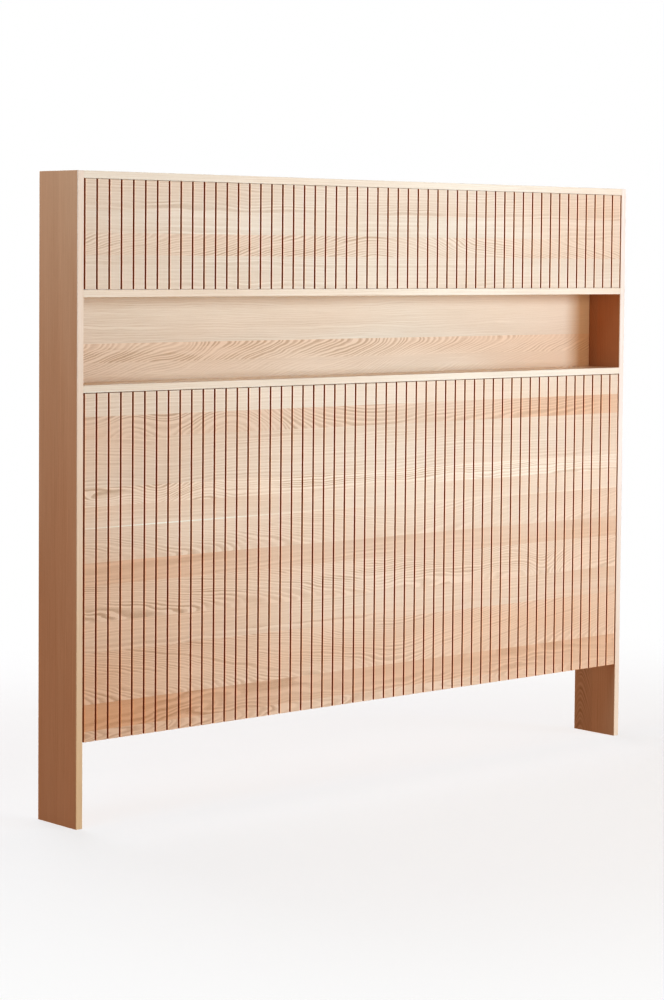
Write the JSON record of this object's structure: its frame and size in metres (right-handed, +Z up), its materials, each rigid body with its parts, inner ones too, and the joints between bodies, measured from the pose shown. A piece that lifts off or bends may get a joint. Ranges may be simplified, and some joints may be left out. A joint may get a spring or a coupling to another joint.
{
  "type": "headboard",
  "caption": "Standing bedroom headboard in pale ash: grooved front panels above and below a full-width open niche, between side boards that run to the floor as legs.",
  "frame": {"origin": "on the floor, in the middle of the width and of the depth", "axes": "+X along the width, to the right seen from the front; +Y to the wall behind; +Z up"},
  "size_m": [1.6, 0.128, 1.3],
  "materials": {
    "ash_veneered_board": "satin, clear lacquer, visible grain",
    "ash_lipping": "satin, clear lacquer",
    "ash_face_veneer": "satin, clear lacquer, grain across the strips",
    "brown_fibreboard": "matt",
    "raw_board": "matt, unlacquered",
    "cast_zinc": "dull cast",
    "zinc_plated_steel": "bright zinc plate",
    "beech": "matt"
  },
  "bodies": {
    "root": {"side_panel_left": "ash_veneered_board", "side_panel_right": "ash_veneered_board", "top_board": "ash_veneered_board", "upper_shelf": "ash_veneered_board", "lower_shelf": "ash_veneered_board", "niche_back_panel": "ash_veneered_board", "side_lipping_left": "ash_lipping", "side_lipping_right": "ash_lipping", "top_board_lipping": "ash_lipping", "upper_shelf_lipping": "ash_lipping", "lower_shelf_lipping": "ash_lipping", "upper_face_strips": "ash_face_veneer", "lower_face_strips": "ash_face_veneer", "upper_front_panel": "brown_fibreboard", "lower_front_panel": "brown_fibreboard", "upper_rear_rail": "raw_board", "lower_rail": "raw_board", "upper_centre_upright": "raw_board", "lower_centre_upright": "raw_board", "cam_locks": "cast_zinc", "cam_bolts": "zinc_plated_steel", "back_panel_screws": "zinc_plated_steel", "rail_screws": "zinc_plated_steel", "angle_brackets": "zinc_plated_steel", "bracket_screws": "zinc_plated_steel", "keyhole_plates": "zinc_plated_steel", "keyhole_plate_screws": "zinc_plated_steel", "board_dowels": "beech", "panel_dowels": "beech"}
  },
  "joints": []
}
